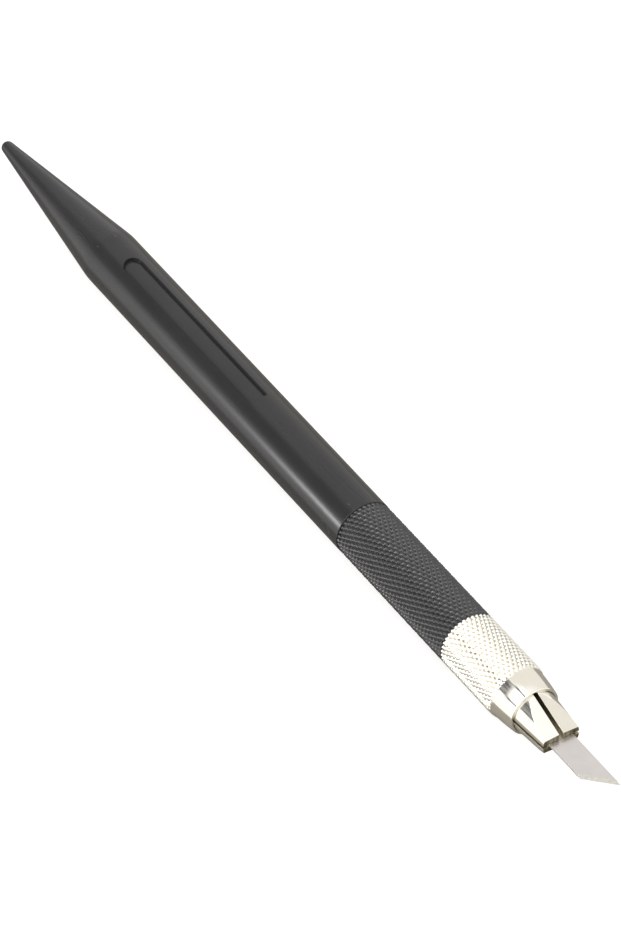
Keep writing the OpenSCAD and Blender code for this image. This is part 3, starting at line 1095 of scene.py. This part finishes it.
def add_world():
    """White to the camera, and for all other light the pale tent that the knife lies in.

    The tent is white on the lamps' side, with a strip light in it, and has bright and
    dim panels on the far side. A dark gap with grey bars along it runs up the lamps'
    side, the end past the tail is dull, and the camera looks in through a grey opening.
    """
    world = bpy.data.worlds.new("studio")
    bpy.context.scene.world = world
    world.use_nodes = True
    n = Nodes(world.node_tree, "Generated")
    axes = n.add("ShaderNodeSeparateXYZ")
    n.put(n.place, axes.inputs[0])
    x, y, z = axes.outputs
    lean = n.math("MULTIPLY_ADD", x, -TENT_LEAN, y)
    stops, colours = [(0.0, TENT_BRIGHT)], [TENT_DIM, TENT_BRIGHT, TENT_DIM]
    for edge, colour in zip(PANEL_EDGES, colours):
        stops.append(((edge - PANEL_BLEND + 1) / 2, stops[-1][1]))
        stops.append(((edge + PANEL_BLEND + 1) / 2, colour))
    panels = n.ramp(n.ranged(x, -1, 1), stops)
    tent = n.mixed(n.ranged(lean, TENT_EDGE, TENT_EDGE + TENT_BLEND), (*TENT_BRIGHT, 1), panels)
    strip = n.math("MULTIPLY", n.ranged(x, STRIP_REAR - STRIP_BLEND, STRIP_REAR),
                   n.ranged(x, STRIP_FRONT + STRIP_BLEND, STRIP_FRONT))
    strip = n.math("MULTIPLY", strip, n.ranged(y, 0.0, -STRIP_BLEND))
    tent = n.mixed(strip, tent, STRIP)
    turn = n.math("ARCTAN2", z, n.math("MULTIPLY", y, -1.0))
    within = [
        n.ranged(x, GAP_FRONT, GAP_FRONT - GAP_BLEND),
        n.ranged(x, GAP_REAR, GAP_REAR + GAP_BLEND),
        n.ranged(turn, GAP_LOW, GAP_LOW + GAP_BLEND),
        n.ranged(turn, GAP_HIGH, GAP_HIGH - GAP_BLEND),
    ]
    gap = within[0]
    for part in within[1:]:
        gap = n.math("MULTIPLY", gap, part)
    shade = n.ramp(n.noise(GAP_NOISE), [(GAP_DARK_AT, GAP_DARK), (GAP_LIGHT_AT, GAP_LIGHT)])
    tent = n.mixed(gap, tent, shade)
    ahead = n.math("MULTIPLY", n.ranged(x, GAP_FRONT - GAP_BLEND, GAP_FRONT),
                   n.ranged(x, BAR_FRONT, BAR_FRONT - GAP_BLEND))
    for side in (GAP_LOW, GAP_HIGH):
        away = n.math("ABSOLUTE", n.math("SUBTRACT", turn, side))
        bar = n.math("MULTIPLY", ahead, n.ranged(away, BAR_HALF, BAR_HALF / 2))
        tent = n.mixed(bar, tent, BAR_GREY)
    tent = n.mixed(n.ranged(x, END_FROM, END_FULL), tent, END_LIGHT)
    facing = n.add("ShaderNodeVectorMath", operation="DOT_PRODUCT")
    n.put(n.place, facing.inputs[0])
    n.put(VIEW_FROM, facing.inputs[1])
    opening = n.ranged(facing.outputs["Value"], math.cos(OPENING_ANGLE),
                       math.cos(OPENING_ANGLE * OPENING_FULL))
    tent = n.mixed(opening, tent, OPENING_GREY)
    path = n.add("ShaderNodeLightPath")
    seen = n.mixed(path.outputs["Is Camera Ray"], tent, (1, 1, 1, 1))
    background = n.tree.nodes["Background"].inputs
    n.put(seen, background["Color"])
    level = n.math("MULTIPLY_ADD", path.outputs["Is Diffuse Ray"], DIFFUSE_LEVEL - 1, 1.0)
    n.put(level, background["Strength"])
    return world


# ------------------------ build
scene = bpy.context.scene
scene.view_settings.view_transform = "Standard"

camera = add_camera()
barrel = build_barrel(black_plastic())
grip = build_grip(black_metal())
turned_nickel = nickel("nickel_turned", (1, 0.05, 0.05))
milled_nickel = nickel("nickel_milled", (0.3, 1, 1))
collar = build_collar(turned_nickel)
# The slits' brass tones are held dark: painted shade for the narrow slits
sawn = sawn_brass("sawn_brass", (0.42, 0.375, 0.24), (0.70, 0.65, 0.48))
# The end face's brass tones are very dark: painted shade for the shaded floor that the end
# mirrors
end_painted_shade = sawn_brass("end_brass_painted_shade", (0.13, 0.115, 0.065), (0.38, 0.35, 0.24))
collet = build_collet(milled_nickel, sawn, end_painted_shade)
blade = build_blade(blade_steel(), ground_steel(), sheared_steel())
scuffs = build_scuffs(camera, barrel, scuffed_plastic())

add_floor()
add_world()
add_area("key", KEY_SIZE, KEY_WATTS, KEY_PLACE)
add_area("near", NEAR_SIZE, NEAR_WATTS, NEAR_PLACE)


def write_points():
    """Where the pieces' vertices and each scuff's middle show, in the photograph's pixels;
    nothing is kept.
    """
    shown = [seen_at(camera, p) for o in (barrel, grip, collar, collet, blade)
             for p in finished(o)[0]]

    for name, obj in scuffs.items():
        seen = np.mean([seen_at(camera, p) for p in finished(obj)[0]], axis=0)


bpy.context.view_layer.update()
write_points()
